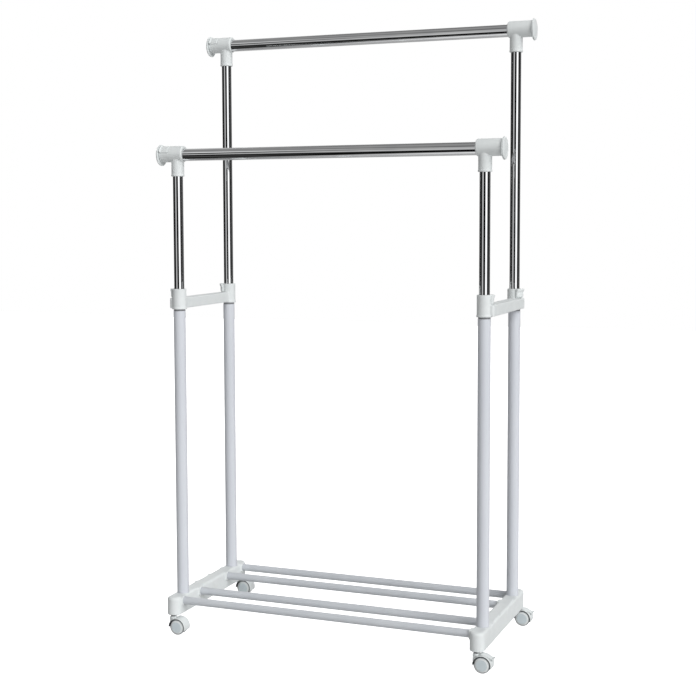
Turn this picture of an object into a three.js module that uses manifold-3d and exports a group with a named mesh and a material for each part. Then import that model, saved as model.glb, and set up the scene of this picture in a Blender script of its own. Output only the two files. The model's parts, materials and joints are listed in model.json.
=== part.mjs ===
// A rolling clothes rack with two hanging rails, one in front of the other at different heights.
// Each rail stands on two chromed uprights that telescope inside white posts. Two moulded bases
// join the posts, carry four shelf rails between them and stand on twin-wheel swivel casters.
// Millimetres, +Z up, the origin on the floor under the middle of the rack, the low rail at -Y.

import * as THREE from 'three';
import { mergeVertices } from 'three/addons/utils/BufferGeometryUtils.js';
import Module from 'manifold-3d';

const wasm = await Module();
wasm.setup();

// ---------- Driving dimensions ----------

const gap = 0.3; // clearance between pieces that touch
const facets = 16; // sides of a round piece
const fewFacets = 10; // sides of a small one

const postX = 395; // posts stand at plus and minus this
const postY = 138;
const railHeights = { front: 1199, rear: 1498 }; // axes of the hanging rails

const post = { radius: 15, wall: 1.2, top: 848.7 };
const upright = { radius: 12.5, wall: 1, length: 825, belowRail: 20 };
const rail = { radius: 15, wall: 1.2, end: 13.7 }; // end: past the post axis
const rod = { radius: 13, wall: 1, start: 43.6, innerEnd: 75 }; // telescopes inside the rail
const shelf = { radius: 9.5, wall: 1, height: 80, rows: [-169, -77, 77, 169] };
const rowNames = ['front', 'front_middle', 'rear_middle', 'rear'];

const base = { halfWidth: 18, halfLength: 200, bottom: 47, top: 92, edge: 6, socketFloor: 52 };
const pad = { halfWidth: 12.5, bottom: 68, top: 92, proud: 4, inner: -6, socketEnd: -2 };

const bridge = { inner: -8, outer: 25, halfLength: 146, bottom: 817, top: 843, corner: 6 };
const collar = { radius: 17.5, foot: 18.4, bottom: 815, top: 866 };
const collarLever = { turn: 25, halfWidth: 13, bottom: 844, lipStart: 860, lip: 24.5 };
const collarWindow = { halfWidth: 5, bottom: 846, top: 857 };

const sleeve = { radius: 20, rise: 2.5, inner: -19.5, outer: 43, step: 14 };
const stub = { radius: 15.75, rim: 16.4, rimHeight: 5, bottom: -53 };
const railLever = {
  halfWidth: 12.1, start: 18, end: 42, lipStart: 38.6, lip: 22.8, inner: 15.8, cam: 11.6, heel: 1.8,
};
const cap = { flange: 26.3, groove: 25, face: 25.6, spigot: 11.6, start: 33, from: 43.9, to: 48.5 };

const caster = { y: 190, trail: 16, wheelRadius: 19.5, wheelIn: 6.3, wheelOut: 15.7 };
const hood = {
  web: 6, innerRadius: 20.6, outerRadius: 22.4, halfWidth: 16,
  neck: 8, neckFloor: 37.7, top: 43.6, hubRadius: 13,
};
const pin = { radius: 4, collar: 6.5, bottom: 25, top: 84 };
const axle = { radius: 3, end: 14.6 };
const pedal = { halfWidth: 10, tab: 3, hingeX: 13, hingeZ: 35 };

const corners = [
  { name: 'front_left', x: -1, y: -1 },
  { name: 'front_right', x: 1, y: -1 },
  { name: 'rear_left', x: -1, y: 1 },
  { name: 'rear_right', x: 1, y: 1 },
];

// ---------- Finishes ----------

const finishes = {
  moulding: { color: 0xd9dedf, roughness: 0.42, metalness: 0 },
  whitePaint: { color: 0xd3d7de, roughness: 0.35, metalness: 0 },
  shelfPaint: { color: 0xc8ccd2, roughness: 0.4, metalness: 0 },
  chrome: { color: 0xcfd2d4, roughness: 0.08, metalness: 1 },
  steel: { color: 0x6f7476, roughness: 0.35, metalness: 1 },
  wheel: { color: 0xbfc8cb, roughness: 0.5, metalness: 0 },
};

// ---------- Solid geometry ----------

// The closed surface of a geometry as a solid, with shared corners merged and faces turned out.
function solid(geometry) {
  const bare = new THREE.BufferGeometry();
  bare.setAttribute('position', geometry.getAttribute('position'));
  bare.setIndex(geometry.getIndex());
  const merged = mergeVertices(bare, 1e-4);
  const position = merged.getAttribute('position');
  const index = merged.getIndex().array;
  const [a, b, c] = [0, 1, 2].map(() => new THREE.Vector3());
  const triangles = [];
  let volume = 0;
  for (let i = 0; i < index.length; i += 3) {
    const [p, q, r] = index.slice(i, i + 3);
    if (p === q || q === r || r === p) continue;
    triangles.push([p, q, r]);
    a.fromBufferAttribute(position, p);
    b.fromBufferAttribute(position, q);
    c.fromBufferAttribute(position, r);
    volume += a.dot(b.cross(c));
  }
  const outward = volume > 0 ? triangles : triangles.map(([p, q, r]) => [p, r, q]);
  return new wasm.Manifold(new wasm.Mesh({
    numProp: 3,
    vertProperties: new Float32Array(position.array),
    triVerts: new Uint32Array(outward.flat()),
  }));
}

// One geometry from a first one, with others added, then cut away, then kept within.
function built(first, { add = [], cut = [], within = [] } = {}) {
  let body = solid(first);
  for (const piece of add) body = body.add(solid(piece));
  for (const piece of cut) body = body.subtract(solid(piece));
  for (const piece of within) body = body.intersect(solid(piece));
  const { vertProperties, triVerts } = body.getMesh();
  const geometry = new THREE.BufferGeometry();
  geometry.setAttribute('position', new THREE.BufferAttribute(vertProperties, 3));
  geometry.setIndex(new THREE.BufferAttribute(triVerts, 1));
  geometry.computeVertexNormals();
  return geometry;
}

// A closed outline of [radius, height] points turned about Z.
function turned(outline, sides = facets) {
  const points = [...outline, outline[0]].map(([radius, height]) => new THREE.Vector2(radius, height));
  return new THREE.LatheGeometry(points, sides).rotateX(Math.PI / 2);
}

function tube(outer, inner, from, to, sides = facets) {
  return turned([[inner, from], [outer, from], [outer, to], [inner, to]], sides);
}

function cylinder(radius, from, to, sides = facets) {
  return new THREE.CylinderGeometry(radius, radius, to - from, sides)
    .rotateX(Math.PI / 2)
    .translate(0, 0, (from + to) / 2);
}

function box([x0, y0, z0], [x1, y1, z1]) {
  return new THREE.BoxGeometry(x1 - x0, y1 - y0, z1 - z0)
    .translate((x0 + x1) / 2, (y0 + y1) / 2, (z0 + z1) / 2);
}

const alongX = (geometry) => geometry.rotateY(Math.PI / 2); // +Z becomes +X
const alongY = (geometry) => geometry.rotateX(-Math.PI / 2); // +Z becomes +Y

// A rectangle with round corners.
function roundedRectangle(x0, y0, x1, y1, radius) {
  return new THREE.Shape()
    .absarc(x1 - radius, y1 - radius, radius, 0, Math.PI / 2)
    .absarc(x0 + radius, y1 - radius, radius, Math.PI / 2, Math.PI)
    .absarc(x0 + radius, y0 + radius, radius, Math.PI, 1.5 * Math.PI)
    .absarc(x1 - radius, y0 + radius, radius, 1.5 * Math.PI, 2 * Math.PI);
}

// A bar along Y with half-round ends.
function stadium(halfWidth, halfLength) {
  const reach = halfLength - halfWidth;
  return new THREE.Shape()
    .absarc(0, reach, halfWidth, 0, Math.PI)
    .absarc(0, -reach, halfWidth, Math.PI, 2 * Math.PI);
}

// An outline raised from one height to another, with its top edge eased off.
function raised(shape, from, to, edge, curveSegments = 4) {
  const block = new THREE.ExtrudeGeometry(shape, {
    depth: to - from,
    bevelThickness: edge,
    bevelSize: edge,
    bevelOffset: -edge,
    bevelSegments: 2,
    curveSegments,
  }).translate(0, 0, from - edge);
  const under = box([-500, -500, from - 2 * edge - 1], [500, 500, from]);
  return built(block, { cut: [under] });
}

const outline = (points) => new THREE.Shape(points.map(([x, y]) => new THREE.Vector2(x, y)));

// A flat outline in X and Z, centred on Y and thick across it.
function plate(shape, halfWidth, curveSegments = 8) {
  return new THREE.ExtrudeGeometry(shape, { depth: 2 * halfWidth, bevelEnabled: false, curveSegments })
    .rotateX(Math.PI / 2)
    .translate(0, halfWidth, 0);
}

// ---------- Base: local +X outboard ----------

function baseMoulding() {
  const { halfWidth, halfLength, bottom, top, edge, socketFloor } = base;
  const padDepth = halfWidth + pad.proud + pad.inner;
  const add = [];
  const cut = [];
  for (const y of shelf.rows) {
    const face = roundedRectangle(-pad.top, y - pad.halfWidth, -pad.bottom, y + pad.halfWidth, 5);
    const block = new THREE.ExtrudeGeometry(face, {
      depth: padDepth, bevelEnabled: false, curveSegments: 1,
    });
    add.push(alongX(block).translate(-halfWidth - pad.proud, 0, 0));
    const socket = cylinder(shelf.radius + gap, -halfWidth - pad.proud - 1, pad.socketEnd);
    cut.push(alongX(socket).translate(0, y, shelf.height));
  }
  for (const side of [-1, 1]) {
    cut.push(cylinder(post.radius + gap, socketFloor, top + 1).translate(0, side * postY, 0));
    const pinHole = cylinder(pin.radius + gap, bottom - 1, pin.top + gap, fewFacets);
    cut.push(pinHole.translate(0, side * caster.y, 0));
  }
  return built(raised(stadium(halfWidth, halfLength), bottom, top, edge, 4), { add, cut });
}

// ---------- Bridge between the front and rear posts: local +X outboard ----------

// A piece at a post's collar, turned from outboard towards the other post.
function atCollar(geometry, side) {
  return geometry.rotateZ(THREE.MathUtils.degToRad(-side * collarLever.turn)).translate(0, side * postY, 0);
}

function midConnector() {
  const { inner, outer, halfLength, bottom, top, corner } = bridge;
  const plan = roundedRectangle(inner, -halfLength, outer, halfLength, corner);
  const add = [];
  const cut = [];
  for (const side of [-1, 1]) {
    const ring = turned([
      [0, collar.bottom], [collar.foot, collar.bottom], [collar.foot, collar.bottom + 3],
      [collar.radius, collar.bottom + 7], [collar.radius, collar.top - 1],
      [collar.radius - 1, collar.top], [0, collar.top],
    ]);
    add.push(ring.translate(0, side * postY, 0));
    cut.push(cylinder(post.radius + gap, collar.bottom - 1, collar.top + 1).translate(0, side * postY, 0));
    const { halfWidth, bottom: sill, top: lintel } = collarWindow;
    cut.push(atCollar(box([8, -halfWidth, sill], [collar.foot + 1, halfWidth, lintel]), side));
  }
  return built(raised(plan, bottom, top, 2.5, 2), { add, cut });
}

// A guide in the collar: a thin sleeve inside the post and a thick ring above it.
function collarBushing() {
  const inner = upright.radius + gap;
  const insidePost = post.radius - post.wall - gap;
  return turned([
    [inner, 822], [insidePost, 822], [insidePost, post.top + gap], [post.radius, post.top + gap],
    [post.radius, collar.top - 0.4], [inner, collar.top - 0.4],
  ]);
}

// The clamp lever on a collar: a curved plate with a flared top lip and a nose through the collar.
function collarLeverPiece(side) {
  const inner = collar.radius + 0.5;
  const { halfWidth, bottom, lipStart, lip } = collarLever;
  const shell = turned([
    [inner, bottom], [inner + 2.2, bottom], [inner + 2.8, lipStart - 3], [lip, collar.top - 2.2],
    [lip, collar.top], [inner + 2, collar.top], [inner, collar.top - 1.5],
  ]);
  const reach = box([0, -halfWidth, bottom - 1], [lip + 1, halfWidth, collar.top + 1]);
  const nose = box([post.radius + 0.4, -4.5, 847.2], [inner + 1, 4.5, 853]);
  return atCollar(built(built(shell, { within: [reach] }), { add: [nose] }), side);
}

// ---------- Rail connector: local +X outboard, the rail axis through the origin ----------
// The sleeve's outside sits a little above the rail axis, so its wall is thicker on top.

const leverTilt = -Math.PI / 4; // the rail lever sits at 45 degrees, between local +Y and +Z

function railConnector() {
  const { radius, rise, inner, outer, step } = sleeve;
  const body = alongX(turned([
    [0, inner], [radius - 0.8, inner], [radius, inner + 0.8], [radius, outer - 0.8],
    [radius - 0.8, outer], [0, outer],
  ])).translate(0, 0, rise);
  const leg = turned([
    [0, stub.bottom], [stub.rim, stub.bottom], [stub.rim, stub.bottom + stub.rimHeight - 1],
    [stub.radius, stub.bottom + stub.rimHeight], [stub.radius, 0], [0, 0],
  ]);
  const slot = box([railLever.start - 0.7, -railLever.halfWidth - 0.4, 8],
    [outer + 1, railLever.halfWidth + 0.4, radius + 2]).rotateX(leverTilt).translate(0, 0, rise);
  return built(body, {
    add: [leg],
    cut: [
      alongX(cylinder(rail.radius + gap, inner - 1, step)),
      alongX(cylinder(rod.radius + gap, step - 1, outer + 1)),
      cylinder(upright.radius + gap, stub.bottom - 1, -upright.belowRail + 0.4),
      slot,
    ],
  });
}

// The lever in the connector's slot: a curved plate that pivots at its inboard end.
function railLeverPiece() {
  const { halfWidth, start, end, lipStart, lip, inner, cam, heel } = railLever;
  const outer = sleeve.radius + 0.3;
  const shell = alongX(turned([
    [inner, start], [outer - heel - 0.4, start], [outer, start + heel], [outer, lipStart],
    [lip, lipStart + 1.4], [lip, end], [inner, end],
  ]));
  const reach = box([start - 1, -halfWidth, 0], [end + 1, halfWidth, lip + 1]);
  const nose = box([start + 2, -4, cam], [start + 7, 4, inner + 1]);
  const lever = built(built(shell, { within: [reach] }), { add: [nose] });
  return lever.rotateX(leverTilt).translate(0, 0, sleeve.rise);
}

// The flanged cap on the end of an extension rod.
function endCap() {
  const { flange, groove, face, spigot, start, from, to } = cap;
  return alongX(turned([
    [0, start], [spigot, start], [spigot, from], [flange, from], [flange, from + 1.5],
    [groove, from + 1.6], [groove, from + 2.1], [face, from + 2.2], [face, to - 1.3],
    [face - 2.2, to - 0.5], [0, to],
  ]));
}

// ---------- Caster: local origin on the floor under the stem, trailing towards +X ----------

function casterStem() {
  const { radius, collar: flange, bottom, top } = pin;
  return turned([
    [0, bottom], [radius, bottom], [radius, hood.top + gap], [flange, hood.top + gap],
    [flange, base.bottom - gap], [radius, base.bottom - gap], [radius, top], [0, top],
  ], fewFacets);
}

// The hood: a web between the wheels, a thin fender over them and a neck around the stem.
function casterHood(braked) {
  const { web, innerRadius, outerRadius, halfWidth, neck, neckFloor, top, hubRadius } = hood;
  const centre = caster.wheelRadius;
  const fenderShape = new THREE.Shape()
    .absarc(0, 0, outerRadius, -0.35, Math.PI)
    .absarc(0, 0, innerRadius, Math.PI, -0.35, true);
  const fender = plate(fenderShape, halfWidth, 6).translate(caster.trail, 0, centre);
  const webShape = new THREE.Shape()
    .absarc(0, 0, outerRadius - 0.5, -0.3, Math.PI + 0.3);
  const middle = plate(webShape, web, 5).translate(caster.trail, 0, centre);
  const lowerNeck = built(cylinder(neck, 16, top), {
    within: [box([-neck - 1, -web, 0], [neck + 1, web, top + 1])],
  });
  const upperNeck = cylinder(neck, neckFloor, top);
  const hub = new THREE.CylinderGeometry(hubRadius, hubRadius, 2 * web, fewFacets)
    .translate(caster.trail, 0, centre);
  const stubs = alongY(cylinder(axle.radius, -axle.end, axle.end, fewFacets))
    .translate(caster.trail, 0, centre);
  const body = built(middle, { add: [fender, lowerNeck, upperNeck, hub] });
  const cut = [cylinder(pin.radius + gap, pin.bottom - gap, top + 1, fewFacets)];
  if (braked) {
    const room = outline([
      [neck + 0.8, 60], [neck + 0.8, 41], [16, 40.8], [30, 36], [40, 33], [60, 33], [60, 60],
    ]);
    cut.push(plate(room, pedal.halfWidth + 0.6));
    cut.push(box([neck + 0.4, -pedal.tab - 0.4, 28], [60, pedal.tab + 0.4, top + 1]));
  }
  return built(body, { add: [stubs], cut });
}

// A wheel on one side of the web: a rim, a shallow ring and a flat disc on its outer face.
function casterWheel(side) {
  const { wheelRadius, wheelIn, wheelOut, trail } = caster;
  const wheel = alongY(turned([
    [axle.radius + gap, wheelIn], [wheelRadius, wheelIn], [wheelRadius, wheelOut - 1.2],
    [wheelRadius - 1.2, wheelOut], [0, wheelOut], [0, axle.end + gap], [axle.radius + gap, axle.end + gap],
  ]));
  return (side > 0 ? wheel : wheel.rotateZ(Math.PI)).translate(trail, 0, wheelRadius);
}

// The brake pedal: a bent plate with an upturned tip, on a tab that pivots in the hood.
function brakePedal() {
  const upper = [[11, 44.1], [16, 43.6], [30, 38.8], [38, 36.3], [41.6, 36.3], [44.2, 38.8], [45.4, 37.4]];
  const lower = [[42.4, 34.3], [37.6, 34.3], [30, 36.8], [16, 41.6], [11, 42.1]];
  const blade = outline([...upper, ...lower]);
  const tab = new THREE.Shape()
    .moveTo(11.2, 43).lineTo(22, 41).absarc(pedal.hingeX, pedal.hingeZ, 4, 0, -Math.PI, true);
  return built(plate(blade, pedal.halfWidth), { add: [plate(tab, pedal.tab, 3)] });
}

// ---------- The rack ----------

const rack = new THREE.Group();

function place(name, geometry, finish, x, y, z, turn = 0) {
  const mesh = new THREE.Mesh(geometry, new THREE.MeshStandardMaterial(finishes[finish]));
  mesh.name = name;
  mesh.position.set(x, y, z);
  mesh.rotation.z = turn;
  rack.add(mesh);
}

for (const [name, side] of [['left', -1], ['right', 1]]) {
  const turn = side > 0 ? 0 : Math.PI;
  place(`base_${name}`, baseMoulding(), 'moulding', side * postX, 0, 0, turn);
  place(`mid_connector_${name}`, midConnector(), 'moulding', side * postX, 0, 0, turn);
}

shelf.rows.forEach((y, row) => {
  const end = postX + pad.socketEnd - gap;
  const bar = alongX(tube(shelf.radius, shelf.radius - shelf.wall, -end, end));
  place(`shelf_rail_${rowNames[row]}`, bar, 'shelfPaint', 0, y, shelf.height);
});

for (const row of ['front', 'rear']) {
  const end = postX + rail.end;
  const bar = alongX(tube(rail.radius, rail.radius - rail.wall, -end, end));
  place(`hanging_rail_${row}`, bar, 'chrome', 0, (row === 'front' ? -1 : 1) * postY, railHeights[row]);
}

for (const { name, x, y } of corners) {
  const [atX, atY] = [x * postX, y * postY];
  const turn = x > 0 ? 0 : Math.PI;
  const side = x * y; // which end of the turned bridge stands here
  const height = railHeights[y < 0 ? 'front' : 'rear'];
  const top = height - upright.belowRail;

  const lowerPost = tube(post.radius, post.radius - post.wall, base.socketFloor + gap, post.top);
  place(`lower_post_${name}`, lowerPost, 'whitePaint', atX, atY, 0);
  place(`collar_bushing_${name}`, collarBushing(), 'moulding', atX, atY, 0);
  place(`collar_lever_${name}`, collarLeverPiece(side), 'moulding', atX, 0, 0, turn);

  const upperTube = tube(upright.radius, upright.radius - upright.wall, top - upright.length, top);
  place(`upright_${name}`, upperTube, 'chrome', atX, atY, 0);
  place(`rail_connector_${name}`, railConnector(), 'moulding', atX, atY, height, turn);
  place(`rail_lever_${name}`, railLeverPiece(), 'moulding', atX, atY, height, turn);
  const slider = alongX(tube(rod.radius, rod.radius - rod.wall, rod.innerEnd - postX, rod.start));
  place(`extension_rod_${name}`, slider, 'chrome', atX, atY, height, turn);
  place(`end_cap_${name}`, endCap(), 'moulding', atX, atY, height, turn);

  const wheelY = y * caster.y;
  const braked = x > 0;
  place(`caster_stem_${name}`, casterStem(), 'steel', atX, wheelY, 0);
  place(`caster_hood_${name}`, casterHood(braked), 'moulding', atX, wheelY, 0);
  place(`caster_wheel_${name}_outer`, casterWheel(y), 'wheel', atX, wheelY, 0);
  place(`caster_wheel_${name}_inner`, casterWheel(-y), 'wheel', atX, wheelY, 0);
  if (braked) place(`brake_pedal_${name}`, brakePedal(), 'moulding', atX, wheelY, 0);
}

export default rack;
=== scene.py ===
"""A rolling clothes rack: fine meshes, materials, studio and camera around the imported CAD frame.

Shapes are drawn in millimetres in each part's own frame, with +X outboard, and placed where the
frame's nodes are. Every piece rides on the CAD body of the node that it stands for.
"""

import json
import math

import bmesh
import bpy
from mathutils import Matrix, Vector


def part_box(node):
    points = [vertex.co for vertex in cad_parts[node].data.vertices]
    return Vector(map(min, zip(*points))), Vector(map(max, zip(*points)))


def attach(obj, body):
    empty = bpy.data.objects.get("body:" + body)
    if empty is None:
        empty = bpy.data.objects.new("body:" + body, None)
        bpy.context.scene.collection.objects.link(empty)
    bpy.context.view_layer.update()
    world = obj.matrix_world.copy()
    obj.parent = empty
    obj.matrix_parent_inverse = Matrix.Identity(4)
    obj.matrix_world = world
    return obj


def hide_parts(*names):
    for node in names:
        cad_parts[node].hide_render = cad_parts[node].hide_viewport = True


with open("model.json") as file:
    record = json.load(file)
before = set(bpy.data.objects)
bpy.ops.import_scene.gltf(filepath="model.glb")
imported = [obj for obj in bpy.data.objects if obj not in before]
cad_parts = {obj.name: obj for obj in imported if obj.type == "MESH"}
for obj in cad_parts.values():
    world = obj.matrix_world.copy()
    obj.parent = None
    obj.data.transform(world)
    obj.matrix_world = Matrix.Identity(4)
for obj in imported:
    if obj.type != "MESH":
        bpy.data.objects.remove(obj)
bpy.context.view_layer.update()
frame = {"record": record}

MM = 0.001
GAP = 0.3  # clearance between pieces that fit into each other, in millimetres
SIDES = 72  # sides of a round piece
SHARP_ANGLE = math.radians(32)  # steeper edges than this are shaded sharp

SLOT_OF = {s["node"]: s["material_slot"] for s in frame["record"]["subparts"]}
BODY_OF = {
    node: body
    for body, nodes in frame["record"]["behaviour"]["bodies"].items()
    for node in nodes
}
CORNERS = [(f"{row}_{side}", row, side) for row in ("front", "rear") for side in ("left", "right")]


# ---------- Shapes: lists of points in millimetres and of faces ----------


def eased(points, steps=4):
    """An outline whose corners [x, y, radius] are rounded; a corner without a radius stays."""
    out = []
    count = len(points)
    for i, corner in enumerate(points):
        here = Vector(corner[:2])
        radius = corner[2] if len(corner) > 2 else 0
        before = Vector(points[i - 1][:2]) - here
        after = Vector(points[(i + 1) % count][:2]) - here
        if radius <= 0 or before.angle(after) > math.radians(178):
            out.append((here.x, here.y))
            continue
        half = before.angle(after) / 2
        reach = min(radius / math.tan(half), before.length * 0.49, after.length * 0.49)
        radius = reach * math.tan(half)
        inward = (before.normalized() + after.normalized()).normalized()
        centre = here + inward * (radius / math.sin(half))
        start = here + before.normalized() * reach - centre
        turn = start.angle_signed(here + after.normalized() * reach - centre)
        for k in range(steps + 1):
            spot = start.copy()
            spot.rotate(Matrix.Rotation(-turn * k / steps, 2))
            out.append((centre.x + spot.x, centre.y + spot.y))
    return out


def supported(outline, margin=0.5):
    """The outline with a point close to each end of every long side, so that it shades straight."""
    out = []
    for i, start in enumerate(outline):
        a, b = Vector(start), Vector(outline[(i + 1) % len(outline)])
        out.append(tuple(a))
        if (b - a).length > 6 * margin and max(a.x, b.x) > 1e-6:
            step = (b - a).normalized() * margin
            out += [tuple(a + step), tuple(b - step)]
    return out


def turned(outline, sides=SIDES):
    """A closed outline of [radius, height] turned about Z. Points on the axis become poles."""
    points, faces, rings = [], [], []
    for radius, height in supported(outline):
        if radius < 1e-6:
            rings.append([len(points)])
            points.append((0.0, 0.0, height))
            continue
        rings.append(list(range(len(points), len(points) + sides)))
        for k in range(sides):
            a = 2 * math.pi * k / sides
            points.append((radius * math.cos(a), radius * math.sin(a), height))
    for i, low in enumerate(rings):
        high = rings[(i + 1) % len(rings)]
        if len(low) == 1 and len(high) == 1:
            continue
        for k in range(sides):
            n = (k + 1) % sides
            if len(low) == 1:
                faces.append((low[0], high[n], high[k]))
            elif len(high) == 1:
                faces.append((low[k], low[n], high[0]))
            else:
                faces.append((low[k], low[n], high[n], high[k]))
    return points, faces


def tube(outer, wall, low, high, edge=0.35):
    """A tube along Z with eased ends."""
    inner = outer - wall
    outline = [(inner, low, edge / 2), (outer, low, edge), (outer, high, edge), (inner, high, edge / 2)]
    return turned(eased(outline))


def rod(radius, low, high, edge=0.0, sides=SIDES):
    return turned(eased([(0, low), (radius, low, edge), (radius, high, edge), (0, high)]), sides)


def prism(outline, low, high):
    """A flat outline in X and Y raised from one height to another."""
    count = len(outline)
    points = [(x, y, z) for z in (low, high) for x, y in outline]
    sides = [(k, (k + 1) % count, count + (k + 1) % count, count + k) for k in range(count)]
    return points, [tuple(reversed(range(count))), tuple(range(count, 2 * count)), *sides]


def stacked(layers):
    """A solid through outlines of the same count, each with its height."""
    count = len(layers[0][0])
    points = [(x, y, z) for outline, z in layers for x, y in outline]
    faces = [tuple(reversed(range(count)))]
    for level in range(len(layers) - 1):
        a, b = level * count, (level + 1) * count
        faces += [(a + k, a + (k + 1) % count, b + (k + 1) % count, b + k) for k in range(count)]
    faces.append(tuple(range((len(layers) - 1) * count, len(layers) * count)))
    return points, faces


def rectangle(x0, y0, x1, y1, radius, steps=5):
    return eased([(x0, y0, radius), (x1, y0, radius), (x1, y1, radius), (x0, y1, radius)], steps)


def slab(x0, y0, x1, y1, low, high, corner, edge, bottom_edge=0.6):
    """A block with round upright corners and eased top and bottom edges."""
    insets = []
    for k in range(4):
        a = math.pi / 2 * k / 3
        insets.append((bottom_edge * (1 - math.sin(a)), low + bottom_edge * (1 - math.cos(a))))
    for k in range(7):
        a = math.pi / 2 * k / 6
        insets.append((edge * (1 - math.cos(a)), high - edge + edge * math.sin(a)))
    return stacked(
        [
            (rectangle(x0 + i, y0 + i, x1 - i, y1 - i, max(corner - i, 0.4), 8), z)
            for i, z in insets
        ]
    )


def block(x0, y0, z0, x1, y1, z1):
    return prism([(x0, y0), (x1, y0), (x1, y1), (x0, y1)], z0, z1)


def sector(inner, outer, start, end):
    """The flat outline between two arcs, from one angle to another in degrees."""
    steps = 28
    angles = [math.radians(start + (end - start) * k / steps) for k in range(steps + 1)]
    far = [(outer * math.cos(a), outer * math.sin(a)) for a in angles]
    near = [(inner * math.cos(a), inner * math.sin(a)) for a in reversed(angles)]
    return far + near


def moved(shape, matrix):
    points, faces = shape
    return [tuple(matrix @ Vector(p)) for p in points], faces


def shifted(shape, x=0, y=0, z=0):
    return moved(shape, Matrix.Translation((x, y, z)))


ALONG_X = Matrix.Rotation(math.pi / 2, 4, "Y")  # +Z becomes +X
ALONG_Y = Matrix.Rotation(-math.pi / 2, 4, "X")  # +Z becomes +Y
UPRIGHT = Matrix.Rotation(math.pi / 2, 4, "X")  # an outline in X and Y stands in X and Z


def along_x(shape):
    return moved(shape, ALONG_X)


def plate(outline, half_width):
    """A flat outline in X and Z, centred on Y and thick across it."""
    return moved(prism(outline, -half_width, half_width), UPRIGHT)


# ---------- Meshes ----------


def raw_mesh(name, shapes):
    points, faces = [], []
    for shape_points, shape_faces in shapes:
        start = len(points)
        points += [tuple(c * MM for c in p) for p in shape_points]
        faces += [tuple(start + i for i in f) for f in shape_faces]
    mesh = bpy.data.meshes.new(name)
    mesh.from_pydata(points, [], faces)
    work = bmesh.new()
    work.from_mesh(mesh)
    bmesh.ops.recalc_face_normals(work, faces=work.faces)
    work.to_mesh(mesh)
    work.free()
    mesh.update()
    return mesh


def scratch(name, shapes):
    obj = bpy.data.objects.new(name, raw_mesh(name, shapes))
    bpy.context.scene.collection.objects.link(obj)
    return obj


def mesh_of(name, add, cut=(), within=(), voxel=0.0, smooth=0):
    """One mesh: the shapes fused by a voxel remesh and smoothed, then kept within and cut."""
    body = scratch(name, add)
    if voxel:
        remesh = body.modifiers.new("fuse", "REMESH")
        remesh.mode = "VOXEL"
        remesh.voxel_size = voxel * MM
        remesh.use_smooth_shade = True
    if smooth:
        soften = body.modifiers.new("soften", "SMOOTH")
        soften.factor = 0.5
        soften.iterations = smooth
    helpers = []
    for operation, shapes in (("INTERSECT", within), ("DIFFERENCE", cut)):
        for k, shape in enumerate(shapes):
            helper = scratch(f"{name}_{operation}_{k}", [shape])
            helpers.append(helper)
            boolean = body.modifiers.new("boolean", "BOOLEAN")
            boolean.operation = operation
            boolean.object = helper
            boolean.solver = "MANIFOLD"
    bpy.context.view_layer.update()
    evaluated = body.evaluated_get(bpy.context.evaluated_depsgraph_get())
    mesh = bpy.data.meshes.new_from_object(evaluated)
    mesh.name = name
    mesh.materials.clear()
    for obj in [body, *helpers]:
        bpy.data.objects.remove(obj)
    mesh.shade_smooth()
    mesh.set_sharp_from_angle(angle=SHARP_ANGLE)
    return mesh


def fused_with(mesh, extra, name, place, voxel):
    """A mesh and one more shape, both put in place and then fused into one."""
    points = [tuple(c / MM for c in v.co) for v in mesh.vertices]
    faces = [tuple(p.vertices) for p in mesh.polygons]
    bpy.data.meshes.remove(mesh)
    return mesh_of(name, [place((points, faces)), place(extra)], voxel=voxel, smooth=3)


# ---------- Procedural materials ----------


class Material:
    """A Principled material, built from the few nodes that this object's finishes need."""

    def __init__(self, name, **values):
        self.made = bpy.data.materials.new(name)
        self.made.use_nodes = True
        self.nodes = self.made.node_tree.nodes
        self.links = self.made.node_tree.links
        self.shader = self.nodes["Principled BSDF"]
        for socket, value in values.items():
            self.shader.inputs[socket.replace("_", " ")].default_value = value
        self.place = self.nodes.new("ShaderNodeTexCoord").outputs["Object"]
        self.height = None

    def noise(self, scale, detail, stretch=(1, 1, 1)):
        mapping = self.nodes.new("ShaderNodeMapping")
        mapping.inputs["Scale"].default_value = stretch
        self.links.new(self.place, mapping.inputs["Vector"])
        noise = self.nodes.new("ShaderNodeTexNoise")
        noise.inputs["Scale"].default_value = scale
        noise.inputs["Detail"].default_value = detail
        noise.inputs["Roughness"].default_value = 0.55
        self.links.new(mapping.outputs["Vector"], noise.inputs["Vector"])
        return noise.outputs["Fac"]

    def ramp(self, factor, stops):
        ramp = self.nodes.new("ShaderNodeValToRGB")
        ends = ramp.color_ramp.elements
        ends[0].position, ends[0].color = stops[0][0], (*stops[0][1], 1)
        ends[1].position, ends[1].color = stops[-1][0], (*stops[-1][1], 1)
        for at, color in stops[1:-1]:
            ends.new(at).color = (*color, 1)
        self.links.new(factor, ramp.inputs["Fac"])
        return ramp.outputs["Color"]

    def tint(self, factor, dark, light):
        self.links.new(self.ramp(factor, [(0.3, dark), (0.7, light)]), self.shader.inputs["Base Color"])

    def gloss(self, factor, low, high):
        spread = self.nodes.new("ShaderNodeMapRange")
        spread.inputs["From Min"].default_value = 0.3
        spread.inputs["From Max"].default_value = 0.7
        spread.inputs["To Min"].default_value = low
        spread.inputs["To Max"].default_value = high
        self.links.new(factor, spread.inputs["Value"])
        self.links.new(spread.outputs["Result"], self.shader.inputs["Roughness"])

    def bump(self, factor, strength, distance):
        bump = self.nodes.new("ShaderNodeBump")
        bump.inputs["Strength"].default_value = strength
        bump.inputs["Distance"].default_value = distance
        self.links.new(factor, bump.inputs["Height"])
        if self.height is not None:
            self.links.new(self.height, bump.inputs["Normal"])
        self.height = bump.outputs["Normal"]
        self.links.new(self.height, self.shader.inputs["Normal"])


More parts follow.
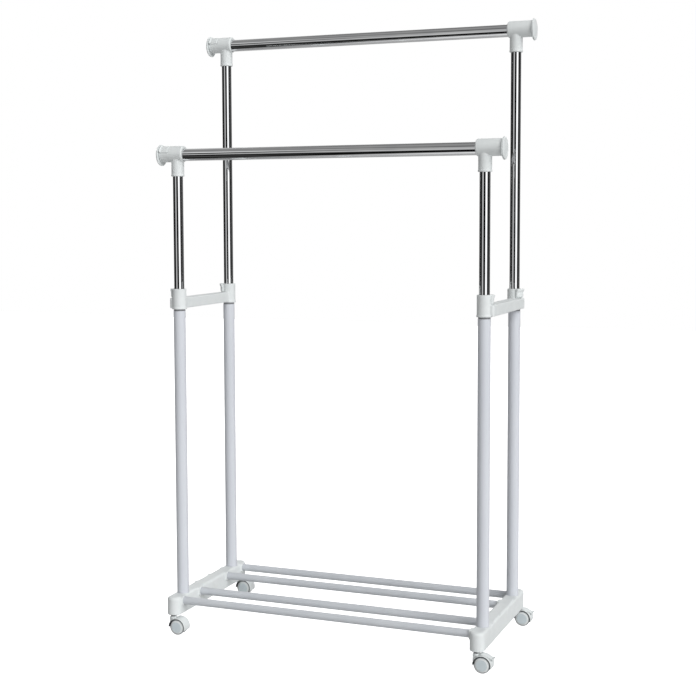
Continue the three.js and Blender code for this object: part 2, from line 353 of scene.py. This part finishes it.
def moulded_plastic(name, dark, light, rough):
    m = Material(name, IOR=1.48)
    m.tint(m.noise(38, 4), dark, light)
    m.gloss(m.noise(90, 3), rough - 0.04, rough + 0.05)
    m.bump(m.noise(1700, 2), 0.22, 0.00012)
    m.bump(m.noise(55, 2), 0.10, 0.0005)
    return m.made


def powder_coat(name, dark, light, rough):
    m = Material(name, IOR=1.5, Coat_Weight=0.12, Coat_Roughness=0.18)
    m.tint(m.noise(9, 3, stretch=(1, 1, 0.25)), dark, light)
    m.gloss(m.noise(160, 3), rough - 0.04, rough + 0.05)
    m.bump(m.noise(520, 2), 0.16, 0.00022)
    return m.made


def chrome_plate(name, grain):
    m = Material(name, Metallic=1.0)
    m.tint(m.noise(14, 3), (0.74, 0.75, 0.765), (0.84, 0.845, 0.85))
    m.gloss(m.noise(70, 4, stretch=grain), 0.02, 0.05)
    m.bump(m.noise(900, 3, stretch=grain), 0.015, 0.00006)
    return m.made


def dark_steel(name):
    m = Material(name, Metallic=1.0)
    m.tint(m.noise(240, 4), (0.12, 0.125, 0.13), (0.26, 0.265, 0.27))
    m.gloss(m.noise(420, 3), 0.28, 0.45)
    m.bump(m.noise(800, 3, stretch=(1, 1, 0.1)), 0.2, 0.0001)
    return m.made


MATERIALS = {
    "moulding": moulded_plastic("moulding", (0.735, 0.768, 0.770), (0.785, 0.815, 0.815), 0.40),
    "white_paint": powder_coat("white_paint", (0.640, 0.665, 0.715), (0.690, 0.712, 0.755), 0.32),
    # painted shade: dark finish for the groove under the collar, where the collar's shadow falls
    "groove": powder_coat("groove", (0.230, 0.236, 0.246), (0.270, 0.276, 0.288), 0.60),
    "shelf_paint": powder_coat("shelf_paint", (0.575, 0.600, 0.635), (0.635, 0.658, 0.690), 0.36),
    "chrome": chrome_plate("chrome", (1, 1, 0.04)),
    "chrome_along": chrome_plate("chrome_along", (0.04, 1, 1)),
    "steel": dark_steel("steel"),
    # painted shade: near-black inside of the caster hood's fender, for the shadowed gap over the wheels
    "hood_lining": moulded_plastic("hood_lining", (0.020, 0.022, 0.024), (0.032, 0.034, 0.036), 0.70),
    "wheel": moulded_plastic("wheel", (0.605, 0.675, 0.705), (0.670, 0.740, 0.765), 0.44),
    # partly painted shade: dark grey tread, a tyre tone made dark so the gap under the hood reads as shade
    "tread": moulded_plastic("tread", (0.200, 0.215, 0.222), (0.260, 0.275, 0.282), 0.60),
}


def painted(mesh, finishes, choose):
    """The mesh with several finishes; choose picks one by a face's middle and normal."""
    for name in finishes:
        mesh.materials.append(MATERIALS[name])
    for face in mesh.polygons:
        face.material_index = finishes.index(choose(Vector(face.center) / MM, face.normal))
    return mesh


def show(node, mesh, at, half_turn=False, finish=None):
    """Puts a fine mesh in place of a CAD node, on the node's body and with its finish."""
    piece = bpy.data.objects.new(f"fine_{node}", mesh)
    bpy.context.scene.collection.objects.link(piece)
    if not mesh.materials:
        mesh.materials.append(MATERIALS[finish or SLOT_OF[node]])
    turn = Matrix.Rotation(math.pi if half_turn else 0.0, 4, "Z")
    piece.matrix_world = Matrix.Translation(at) @ turn
    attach(piece, BODY_OF[node])
    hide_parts(node)


def middle(node):
    """The middle of a node's box, in metres."""
    low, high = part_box(node)
    return (low + high) / 2


def extent(node, axis):
    """The lowest and highest coordinate of a node along one axis, in millimetres."""
    low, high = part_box(node)
    return low[axis] / MM, high[axis] / MM


# ---------- Sizes of the shapes, in millimetres ----------

POST_Y = abs(middle("lower_post_front_left").y) / MM
CASTER_Y = abs(middle("caster_stem_front_left").y) / MM
SHELF_ROWS = {n: middle(f"shelf_rail_{n}").y / MM for n in ("front", "front_middle", "rear_middle", "rear")}
SHELF_Z = middle("shelf_rail_front").z / MM

POST_R, UPRIGHT_R, RAIL_R, ROD_R, SHELF_R = 15.0, 12.5, 15.0, 13.0, 9.5
THICK_WALL, THIN_WALL = 1.2, 1.0  # of posts and rails, and of the other tubes
GROOVE_DEPTH = 0.7

BASE_LOW, BASE_HIGH = extent("base_left", 2)
BASE_HALF_WIDTH = 18.0
BASE_HALF_LENGTH = extent("base_left", 1)[1]
PAD_IN, PAD_OUT, PAD_LOW, PAD_HALF_WIDTH = -6.0, -21.8, 68.0, 12.3
SOCKET_FLOOR = 52.0
STEM_BORE_R = 4.3

COLLAR_LOW, COLLAR_HIGH = extent("mid_connector_left", 2)
COLLAR_R, COLLAR_FOOT_R = 17.5, 18.4
BAR_IN, BAR_OUT, BAR_LOW, BAR_HIGH = -8.0, 25.0, 817.0, 843.0
LEVER_TURN = 25.0  # degrees from outboard towards the other post

SLEEVE_RISE, SLEEVE_R, SLEEVE_IN, SLEEVE_OUT = 2.5, 20.0, -19.5, 43.0
LEG_R, LEG_FOOT_R, LEG_LOW = 15.75, 16.4, -53.0

WHEEL_R, TRAIL = 19.5, 16.0  # the axle stands this far behind the stem
TREAD_IN_R, TREAD_FROM = 17.4, 6.4  # the tread lies beyond this radius and this far across
BEVEL_IN_R, BEVEL_FROM = 13.3, 12.6
HOOD_IN_R, HOOD_OUT_R, HOOD_HALF_WIDTH = 20.9, 22.4, 15.9
WEB_HALF_WIDTH = 5.9
NECK_R, NECK_LOW, NECK_HIGH = 8.0, 37.7, 43.6


# ---------- Tubes ----------


def post_mesh(low, high):
    """A post with a shallow groove just below the collar, whose outer faces carry painted shade for the
    shadow under the collar.
    """
    inner, groove_floor = POST_R - THICK_WALL, POST_R - GROOVE_DEPTH
    groove_low, groove_high = COLLAR_LOW - 4.4, COLLAR_LOW - 0.6
    outline = [
        (inner, low, 0.2), (POST_R, low, 0.4), (POST_R, groove_low, 0.4),
        (groove_floor, groove_low + 0.5, 0.2), (groove_floor, groove_high - 0.5, 0.2),
        (POST_R, groove_high, 0.2), (POST_R, high, 0.5), (inner, high, 0.2),
    ]

    def finish(at, normal):
        # the groove's outer faces take painted shade
        outside = math.hypot(at.x, at.y) > POST_R - 1.1
        return "groove" if outside and groove_low < at.z < groove_high else "white_paint"

    return painted(mesh_of("post", [turned(eased(outline))]), ("white_paint", "groove"), finish)


def level_tube(node, name, radius, wall, edge=0.35, finish=None):
    """A tube along X between the ends of its node."""
    at = middle(node)
    at.x = 0
    mesh = mesh_of(name, [along_x(tube(radius, wall, *extent(node, 0), edge))])
    show(node, mesh, at, finish=finish)


def bars():
    for corner, _, _ in CORNERS:
        at = middle(f"lower_post_{corner}")
        at.z = 0
        show(f"lower_post_{corner}", post_mesh(*extent(f"lower_post_{corner}", 2)), at)
        upright = tube(UPRIGHT_R, THIN_WALL, *extent(f"upright_{corner}", 2))
        show(f"upright_{corner}", mesh_of("upright", [upright]), at)
        level_tube(f"extension_rod_{corner}", "slider", ROD_R, THIN_WALL, finish="chrome_along")
    for row in ("front", "rear"):
        level_tube(f"hanging_rail_{row}", "rail", RAIL_R, THICK_WALL, 0.5, "chrome_along")
    for name in SHELF_ROWS:
        level_tube(f"shelf_rail_{name}", "shelf_rail", SHELF_R, THIN_WALL)


# ---------- Base moulding ----------


def base_mesh():
    add = [
        slab(-BASE_HALF_WIDTH, -BASE_HALF_LENGTH, BASE_HALF_WIDTH, BASE_HALF_LENGTH,
             BASE_LOW, BASE_HIGH, BASE_HALF_WIDTH - 0.01, 6.5, 1.4)
    ]
    cut = []
    for y in SHELF_ROWS.values():
        face = rectangle(-BASE_HIGH + 0.2, y - PAD_HALF_WIDTH, -PAD_LOW, y + PAD_HALF_WIDTH, 5)
        add.append(along_x(prism(face, PAD_OUT, PAD_IN)))
        bore, mouth = SHELF_R + GAP, SHELF_R + 0.9
        hole = turned([(0, -24), (mouth, -24), (mouth, -21.6), (bore, -21), (bore, -2), (0, -2)])
        cut.append(shifted(along_x(hole), y=y, z=SHELF_Z))
    for y in (-108, -36, 36, 108):  # snap tabs along the outer top edge
        add.append(slab(12, y - 7, BASE_HALF_WIDTH + 0.7, y + 7, BASE_HIGH - 14, BASE_HIGH - 0.6, 1.5, 1.6))
    bore, mouth, floor, above = POST_R + GAP, POST_R + 0.9, SOCKET_FLOOR, BASE_HIGH + 2
    socket = turned([(0, floor), (bore, floor), (bore, BASE_HIGH - 3), (mouth, above), (0, above)])
    for side in (-1, 1):
        cut.append(shifted(socket, y=side * POST_Y))
        cut.append(shifted(rod(STEM_BORE_R, BASE_LOW - 1, 84.3), y=side * CASTER_Y))
    return mesh_of("base", add, cut, voxel=1.0, smooth=3)


# ---------- Bridge, collars, bushings and collar levers ----------


def at_collar(shape, side):
    """A shape at the collar on one side of the bridge, turned to where its lever faces."""
    turn = Matrix.Rotation(math.radians(-side * LEVER_TURN), 4, "Z")
    return moved(shape, Matrix.Translation((0, side * POST_Y, 0)) @ turn)


def bridge_mesh():
    half_length = POST_Y + 8
    add = [slab(BAR_IN, -half_length, BAR_OUT, half_length, BAR_LOW, BAR_HIGH, 6.5, 2.6, 1.6)]
    ring = turned(
        eased(
            [
                (0, COLLAR_LOW), (COLLAR_FOOT_R, COLLAR_LOW, 0.8), (COLLAR_FOOT_R, COLLAR_LOW + 3.4, 0.8),
                (COLLAR_R, COLLAR_LOW + 5.4, 1.5), (COLLAR_R, COLLAR_HIGH, 1.0), (0, COLLAR_HIGH),
            ]
        )
    )
    bore = turned(
        [
            (0, COLLAR_LOW - 1), (POST_R + 1.1, COLLAR_LOW - 1), (POST_R + GAP, COLLAR_LOW + 1),
            (POST_R + GAP, COLLAR_HIGH - 1), (POST_R + 1.0, COLLAR_HIGH + 1), (0, COLLAR_HIGH + 1),
        ]
    )
    window = block(8, -5, 846, 19.4, 5, 857)  # for the nose of the lever
    cut = []
    for side in (-1, 1):
        add.append(shifted(ring, y=side * POST_Y))
        cut += [shifted(bore, y=side * POST_Y), at_collar(window, side)]
    return mesh_of("bridge", add, cut, voxel=0.9, smooth=3)


def bushing_mesh(low, high):
    top = extent("lower_post_front_left", 2)[1] + GAP
    outline = [
        (UPRIGHT_R + GAP, low, 0.3), (POST_R - 1.5, low, 0.3), (POST_R - 1.5, top), (POST_R, top),
        (POST_R, high, 0.9), (UPRIGHT_R + GAP, high, 0.6),
    ]
    return mesh_of("bushing", [turned(eased(outline))])


def collar_lever_mesh(side):
    inner, lip, low, high = 18.0, 24.3, 844.2, 866.0
    shell = turned(
        eased(
            [
                (inner, low, 0.3), (inner + 2.2, low, 0.6), (inner + 4, low + 3, 1.5), (inner + 4, 857, 2),
                (lip, high - 3, 0.6), (lip, high, 0.6), (inner + 2, high, 0.5), (inner, high - 1.5, 0.4),
            ]
        )
    )
    reach = along_x(prism(rectangle(-high - 1, -12.9, -low + 1, 12.9, 3.2), 0, 30))
    nose = block(15.5, -4.4, 847.4, inner + 1, 4.4, 852.8)
    lever = mesh_of("lever_shell", [shell], within=[reach])
    return fused_with(lever, nose, f"collar_lever_{side}", lambda s: at_collar(s, side), 0.45)


# ---------- Rail connector, its lever and the end cap ----------


def tilted(shape):
    """A shape on top of the sleeve, leaned over to where the lever lies."""
    return shifted(moved(shape, Matrix.Rotation(-math.pi / 4, 4, "X")), z=SLEEVE_RISE)


def connector_mesh():
    sleeve = turned(
        eased(
            [
                (0, SLEEVE_IN), (SLEEVE_R - 2, SLEEVE_IN, 0.6), (SLEEVE_R, SLEEVE_IN + 2.3, 0.8),
                (SLEEVE_R, SLEEVE_OUT, 0.9), (0, SLEEVE_OUT),
            ]
        )
    )
    leg = turned(
        eased(
            [
                (0, LEG_LOW), (LEG_FOOT_R, LEG_LOW, 1.0), (LEG_FOOT_R, LEG_LOW + 4.4, 0.5),
                (LEG_R, LEG_LOW + 5, 0.4), (LEG_R, 4), (0, 4),
            ]
        )
    )
    web = slab(-13, -3, 13, 3, -22, -12, 1, 1)
    bore, mouth, before = RAIL_R + GAP, RAIL_R + 0.7, SLEEVE_IN - 1
    rail_bore = turned([(0, before), (mouth, before), (bore, SLEEVE_IN + 0.4), (bore, 14), (0, 14)])
    rod_bore = turned([(0, 13), (ROD_R + GAP, 13), (ROD_R + GAP, SLEEVE_OUT + 1), (0, SLEEVE_OUT + 1)])
    bore, mouth, below = UPRIGHT_R + GAP, UPRIGHT_R + 1.1, LEG_LOW - 1
    leg_bore = turned([(0, below), (mouth, below), (bore, LEG_LOW + 1), (bore, -19.6), (0, -19.6)])
    slot = tilted(block(17.0, -12.8, 8, SLEEVE_OUT + 1, 12.8, SLEEVE_R + 2))
    return mesh_of(
        "connector",
        [shifted(along_x(sleeve), z=SLEEVE_RISE), leg, web],
        [along_x(rail_bore), along_x(rod_bore), leg_bore, slot],
        voxel=0.65,
        smooth=4,
    )


def rail_lever_mesh():
    inner, outer, lip = 15.9, SLEEVE_R + 0.3, 22.8
    shell = along_x(
        turned(
            eased(
                [
                    (inner, 18.1, 0.3), (outer - 2.2, 18.1, 0.6), (outer, 19.9, 0.6), (outer, 38.4, 2),
                    (lip, 40.2, 0.6), (lip, 42, 0.6), (inner, 42, 0.4),
                ]
            )
        )
    )
    reach = prism(rectangle(17, -11.7, 42.2, 11.7, 2.4), 0, 26)
    nose = block(20, -4, 11.7, 25, 4, inner + 1)
    lever = mesh_of("lever_shell", [shell], within=[reach])
    return fused_with(lever, nose, "rail_lever", tilted, 0.45)


def cap_mesh():
    outline = eased(
        [
            (0, 33), (11.6, 33, 0.8), (11.6, 43.9), (26.3, 43.9, 0.4), (26.3, 45.5, 0.4),
            (23.9, 45.6), (23.9, 46.3), (25.6, 46.4, 0.2), (25.6, 47.1, 0.4), (22.6, 48.0, 1.0),
            (17.5, 47.95), (17.0, 47.55), (16.2, 47.55), (15.7, 47.95), (8, 48.4, 6), (0, 48.5),
        ]
    )
    return mesh_of("cap", [along_x(turned(outline, 96))])


# ---------- Casters ----------


def stem_mesh():
    outline = eased(
        [
            (0, 25), (4, 25, 0.6), (4, 43.9), (6.5, 43.9, 0.4), (6.5, 46.7, 0.4), (4, 46.7),
            (4, 79.5, 0.3), (3.5, 80.2), (3.5, 81.6), (4, 82.2), (4, 84, 0.8), (0, 84),
        ]
    )
    return mesh_of("stem", [turned(outline, 40)])


def at_wheel(shape):
    return shifted(shape, x=TRAIL, z=WHEEL_R)


def from_axle(point):
    """A point's place from the wheel's centre: the vector, and its distance from the axle."""
    out = point - Vector((TRAIL, 0, WHEEL_R))
    return out, math.hypot(out.x, out.z)


def hood_finish(at, normal):
    """Painted shade inside the fender, where it faces the wheels."""
    out, radius = from_axle(at)
    inside = abs(out.y) > WEB_HALF_WIDTH + 0.4 and 18 < radius < HOOD_OUT_R - 0.5
    return "hood_lining" if inside and normal.x * out.x + normal.z * out.z < -4 else "moulding"


def hood_mesh(braked):
    fender = at_wheel(plate(sector(HOOD_IN_R, HOOD_OUT_R, -20, 180), HOOD_HALF_WIDTH))
    web = at_wheel(plate(sector(0.5, HOOD_OUT_R - 0.5, -17, 197), WEB_HALF_WIDTH))
    neck = turned(eased([(0, NECK_LOW), (NECK_R, NECK_LOW), (NECK_R, NECK_HIGH, 1.0), (0, NECK_HIGH)]), 48)
    root = block(-7.9, -WEB_HALF_WIDTH, 16, 7.9, WEB_HALF_WIDTH, 43)
    hub = at_wheel(moved(rod(13, -WEB_HALF_WIDTH, WEB_HALF_WIDTH, 0.8), ALONG_Y))
    stubs = at_wheel(moved(rod(2.9, -14.5, 14.5, 0.4, 32), ALONG_Y))
    cut = [rod(STEM_BORE_R, 24.6, 45, 0, 40)]
    if braked:
        room = [(8.8, 60), (8.8, 41), (16, 40.8), (30, 36), (40, 33), (60, 33), (60, 60)]
        cut.append(plate(room, 10.6))
        cut.append(block(8.4, -3.4, 28, 60, 3.4, 45))
    hood = mesh_of("hood", [fender, web, neck, root, hub, stubs], cut, voxel=0.5, smooth=2)
    # the fender's inner faces take painted shade
    return painted(hood, ("moulding", "hood_lining"), hood_finish)


def wheel_finish(at, normal):
    """Dark grey tread, partly the tyre's own tone and partly painted shade for the gap under the hood; white
    bevel around the disc, and pale nylon for the rest.
    """
    out, radius = from_axle(at)
    if radius > TREAD_IN_R:
        return "tread" if abs(out.y) > TREAD_FROM else "wheel"
    return "moulding" if radius > BEVEL_IN_R and abs(out.y) > BEVEL_FROM else "wheel"


def wheel_mesh(side):
    """A wheel with a crowned grey tread, partly painted shade, and a disc that stands proud of it with a
    wide bevel.
    """
    outline = eased(
        [
            (3.3, 6.3, 0.3), (17.6, 6.3, 0.4), (19.1, 7.0, 0.8), (19.45, 9.0), (19.5, 10.2), (19.3, 11.6),
            (18.7, 12.2, 0.5), (17.3, 12.4, 0.2), (17.2, 13.4, 0.5), (13.4, 15.5, 1.2), (9, 15.7), (0, 15.7),
            (0, 14.9), (3.3, 14.9, 0.2),
        ]
    )
    turn = Matrix.Identity(4) if side > 0 else Matrix.Rotation(math.pi, 4, "Z")
    disc = moved(moved(turned(outline), ALONG_Y), turn)
    return painted(mesh_of("wheel", [at_wheel(disc)]), ("wheel", "moulding", "tread"), wheel_finish)


def pedal_mesh():
    blade = eased(
        [
            (11, 44.0, 0.6), (16, 43.5, 6), (30, 38.8, 8), (38, 36.3, 3), (41.6, 36.3, 2),
            (44.2, 38.7, 0.7), (45.3, 37.4, 0.7), (42.4, 34.4, 2), (37.6, 34.4, 3), (30, 36.9, 8),
            (16, 41.6, 6), (11, 42.2, 0.6),
        ]
    )
    tab = eased([(11.2, 43), (9.4, 36, 3), (12, 31.2, 3), (16, 32, 3), (22, 41)])
    rib_places = ((33.5, 37.2), (36.5, 36.3), (39.5, 36.0))
    ribs = [block(x, -8.5, z, x + 0.9, 8.5, z + 0.7) for x, z in rib_places]
    return mesh_of("pedal", [plate(blade, 9.9), plate(tab, 2.9), *ribs], voxel=0.4, smooth=3)


# ---------- The rack ----------

bars()
base, bridge, cap = base_mesh(), bridge_mesh(), cap_mesh()
for side in ("left", "right"):
    left = side == "left"
    end = Vector((middle(f"lower_post_front_{side}").x, 0, 0))
    show(f"base_{side}", base, end, left)
    show(f"mid_connector_{side}", bridge, end, left)

collar_levers = {s: collar_lever_mesh(s) for s in (-1, 1)}
bushing = bushing_mesh(*extent("collar_bushing_front_left", 2))
connector, rail_lever = connector_mesh(), rail_lever_mesh()
stem, pedal = stem_mesh(), pedal_mesh()
hoods = {braked: hood_mesh(braked) for braked in (False, True)}
wheels = {s: wheel_mesh(s) for s in (-1, 1)}

for corner, row, side in CORNERS:
    left = side == "left"
    outboard = -1 if left else 1
    across = -1 if row == "front" else 1
    post = middle(f"lower_post_{corner}")
    foot = Vector((post.x, post.y, 0))
    show(f"collar_bushing_{corner}", bushing, foot)
    show(f"collar_lever_{corner}", collar_levers[outboard * across], Vector((post.x, 0, 0)), left)
    head = Vector((post.x, post.y, middle(f"hanging_rail_{row}").z))
    show(f"rail_connector_{corner}", connector, head, left)
    show(f"rail_lever_{corner}", rail_lever, head, left)
    show(f"end_cap_{corner}", cap, head, left)
    wheel_foot = Vector((post.x, middle(f"caster_stem_{corner}").y, 0))
    show(f"caster_stem_{corner}", stem, wheel_foot)
    show(f"caster_hood_{corner}", hoods[not left], wheel_foot)
    show(f"caster_wheel_{corner}_outer", wheels[across], wheel_foot)
    show(f"caster_wheel_{corner}_inner", wheels[-across], wheel_foot)
    if not left:
        show(f"brake_pedal_{corner}", pedal, wheel_foot)


# ---------- Camera ----------

AZIMUTH, ELEVATION, ROLL = 21.538, 4.526, -0.168  # degrees
CAMERA_AT = Vector((1.2142, -3.0791, 1.0495))
LENS, SHIFT_X, SHIFT_Y = 68.70, 0.0032, -0.0402

azimuth, elevation, roll = (math.radians(v) for v in (AZIMUTH, ELEVATION, ROLL))
forward = Vector((-math.sin(azimuth) * math.cos(elevation), math.cos(azimuth) * math.cos(elevation),
                  -math.sin(elevation)))
level = Vector((math.cos(azimuth), math.sin(azimuth), 0))
up = level.cross(forward)
right = math.cos(roll) * level + math.sin(roll) * up
over = -math.sin(roll) * level + math.cos(roll) * up

camera_data = bpy.data.cameras.new("camera")
camera_data.sensor_width = 36
camera_data.lens = LENS
camera_data.shift_x, camera_data.shift_y = SHIFT_X, SHIFT_Y
camera = bpy.data.objects.new("camera", camera_data)
bpy.context.scene.collection.objects.link(camera)
camera.matrix_world = Matrix.Translation(CAMERA_AT) @ Matrix((right, over, -forward)).transposed().to_4x4()
bpy.context.scene.camera = camera


# ---------- Studio ----------


def floor():
    """A pale floor that the camera sees as white and the chrome doesn't reflect."""
    mesh = bpy.data.meshes.new("floor")
    half = 9
    corners = ((-half, -half, 0), (half, -half, 0), (half, half, 0), (-half, half, 0))
    mesh.from_pydata(corners, [], [(0, 1, 2, 3)])
    made = bpy.data.objects.new("floor", mesh)
    bpy.context.scene.collection.objects.link(made)
    m = Material("floor", Roughness=0.9, Specular_IOR_Level=0.0)
    m.tint(m.noise(3, 2), (0.58, 0.58, 0.58), (0.61, 0.61, 0.61))
    m.shader.inputs["Emission Color"].default_value = (1, 1, 1, 1)
    seen = m.nodes.new("ShaderNodeLightPath").outputs["Is Camera Ray"]
    m.links.new(seen, m.shader.inputs["Emission Strength"])
    mesh.materials.append(m.made)
    made.visible_glossy = False


def sun(name, bearing, height, strength, spread):
    """A wide soft light from far off, at a bearing to the right of the camera."""
    data = bpy.data.lights.new(name, "SUN")
    data.energy, data.angle = strength, math.radians(spread)
    light = bpy.data.objects.new(name, data)
    bpy.context.scene.collection.objects.link(light)
    turn, lift = math.radians(AZIMUTH + bearing - 90), math.radians(height)
    towards = Vector((math.cos(turn) * math.cos(lift), math.sin(turn) * math.cos(lift), math.sin(lift)))
    light.rotation_euler = (-towards).to_track_quat("-Z", "Y").to_euler()
    light.visible_glossy = False


class World:
    """The world's node tree, built from the few nodes that the studio needs."""

    def __init__(self, name):
        world = bpy.data.worlds.new(name)
        bpy.context.scene.world = world
        world.use_nodes = True
        self.nodes, self.links = world.node_tree.nodes, world.node_tree.links
        self.nodes.clear()
        self.facing = self.nodes.new("ShaderNodeTexCoord").outputs["Generated"]

    def math(self, operation, a, b):
        node = self.nodes.new("ShaderNodeMath")
        node.operation = operation
        for socket, value in zip(node.inputs, (a, b)):
            if isinstance(value, (int, float)):
                socket.default_value = value
            else:
                self.links.new(value, socket)
        return node.outputs[0]

    def along(self, direction):
        """How far the view goes along a direction."""
        node = self.nodes.new("ShaderNodeVectorMath")
        node.operation = "DOT_PRODUCT"
        self.links.new(self.facing, node.inputs[0])
        node.inputs[1].default_value = direction
        return node.outputs["Value"]

    def turn(self, sine, cosine):
        """An angle, as 0 at -180 degrees and 1 at 180."""
        return self.math("ADD", self.math("DIVIDE", self.math("ARCTAN2", sine, cosine), 2 * math.pi), 0.5)

    def ramp(self, factor, stops):
        """A grey level from its stops [factor, level]."""
        node = self.nodes.new("ShaderNodeValToRGB")
        ends = node.color_ramp.elements
        ends[0].position, ends[1].position = stops[0][0], stops[-1][0]
        ends[0].color = (*[stops[0][1]] * 3, 1)
        ends[1].color = (*[stops[-1][1]] * 3, 1)
        for at, level in stops[1:-1]:
            ends.new(at).color = (level, level, level, 1)
        self.links.new(factor, node.inputs["Fac"])
        return node.outputs["Color"]

    def round_ramp(self, turn, stops):
        """A ramp whose stops are [degrees, level]."""
        return self.ramp(turn, [((degrees + 180) / 360, level) for degrees, level in stops])

    def mixed(self, factor, a, b):
        node = self.nodes.new("ShaderNodeMix")
        node.data_type = "RGBA"
        self.links.new(factor, node.inputs["Factor"])
        for socket, value in ((node.inputs[6], a), (node.inputs[7], b)):
            if isinstance(value, tuple):
                socket.default_value = value
            else:
                self.links.new(value, socket)
        return node.outputs[2]

    def show(self, color):
        background = self.nodes.new("ShaderNodeBackground")
        self.links.new(color, background.inputs["Color"])
        output = self.nodes.new("ShaderNodeOutputWorld")
        self.links.new(background.outputs[0], output.inputs["Surface"])


# What the upright tubes reflect, by bearing in degrees from the camera.
ROUND_ABOUT = (
    (-180, 0.30), (-150, 0.06), (-97, 0.015), (-72, 0.015), (-64, 0.03), (-60, 0.58), (-37, 0.58),
    (-32, 0.004), (5, 0.002), (8, 1.30), (43, 1.30), (49, 0.03), (62, 0.012), (80, 0.02),
    (97, 0.08), (118, 0.10), (140, 0.15), (180, 0.45),
)
# What three stretches of the level rails reflect, by pitch in degrees: 90 is overhead, -90 the floor.
FROM_LEFT = (
    (-180, 0.60), (-150, 0.60), (-110, 0.21), (-88, 0.03), (-58, 0.010), (-50, 0.02), (-42, 0.12),
    (-34, 0.04), (-20, 0.006), (27, 0.004), (30, 0.95), (41, 0.85), (45, 0.42), (60, 0.30),
    (92, 0.25), (112, 0.42), (125, 0.55), (180, 0.60),
)
FROM_MIDDLE = (
    (-180, 0.42), (-88, 0.46), (-70, 0.50), (-66, 0.003), (-26, 0.003), (-18, 0.06), (-12, 0.12),
    (-8, 0.42), (5, 0.42), (12, 0.22), (23, 0.22), (29, 0.44), (44, 0.40), (51, 0.21), (62, 0.21),
    (72, 0.34), (86, 0.34), (100, 0.20), (180, 0.40),
)
FROM_RIGHT = (
    (-180, 0.42), (-100, 0.46), (-84, 0.80), (-64, 0.85), (-56, 0.20), (-50, 0.02), (-46, 0.003),
    (-16, 0.003), (-12, 0.62), (10, 0.52), (32, 0.44), (38, 0.16), (50, 0.14), (56, 0.29),
    (70, 0.30), (88, 0.36), (104, 0.20), (116, 0.19), (180, 0.40),
)


def reflections(world):
    """Strips and dark flags: upright tubes meet them by bearing, and level rails by pitch."""
    key = math.radians(AZIMUTH)
    to_camera, to_right = (math.sin(key), -math.cos(key), 0), (math.cos(key), math.sin(key), 0)
    round_about = world.round_ramp(world.turn(world.along(to_right), world.along(to_camera)), ROUND_ABOUT)

    upward = world.along((0, 0, 1))
    pitch = world.turn(upward, world.along((0, -1, 0)))
    left, centre, right_end = (world.round_ramp(pitch, s) for s in (FROM_LEFT, FROM_MIDDLE, FROM_RIGHT))
    lengthwise = world.math("DIVIDE", world.math("ADD", world.along((1, 0, 0)), 0.46), 0.17)
    left_half = world.mixed(world.ramp(lengthwise, [(0.0, 0.0), (0.5, 1.0)]), left, centre)
    up_and_down = world.mixed(world.ramp(lengthwise, [(0.5, 0.0), (1.0, 1.0)]), left_half, right_end)

    steep = [(0.40, 1.0), (0.42, 0.0), (0.62, 0.0), (0.635, 1.0)]
    return world.mixed(world.ramp(world.math("ADD", upward, 0.5), steep), round_about, up_and_down)


def studio():
    """White for the camera, soft light from the right, and reflections of their own for the chrome."""
    world = World("studio")
    gloss = reflections(world)
    towards_key = world.math("ADD", world.math("MULTIPLY", world.along((0.80, -0.50, 0.33)), 0.5), 0.5)
    soft = world.ramp(towards_key, [(0.0, 0.05), (0.5, 0.22), (1.0, 0.50)])
    ray = world.nodes.new("ShaderNodeLightPath").outputs
    seen = world.mixed(ray["Is Glossy Ray"], soft, gloss)
    world.show(world.mixed(ray["Is Camera Ray"], seen, (1, 1, 1, 1)))
    sun("key", 35, 32, 2.22, 50)
    sun("back", 180, 30, 1.3, 60)


floor()
studio()
bpy.context.scene.view_settings.view_transform = "Standard"
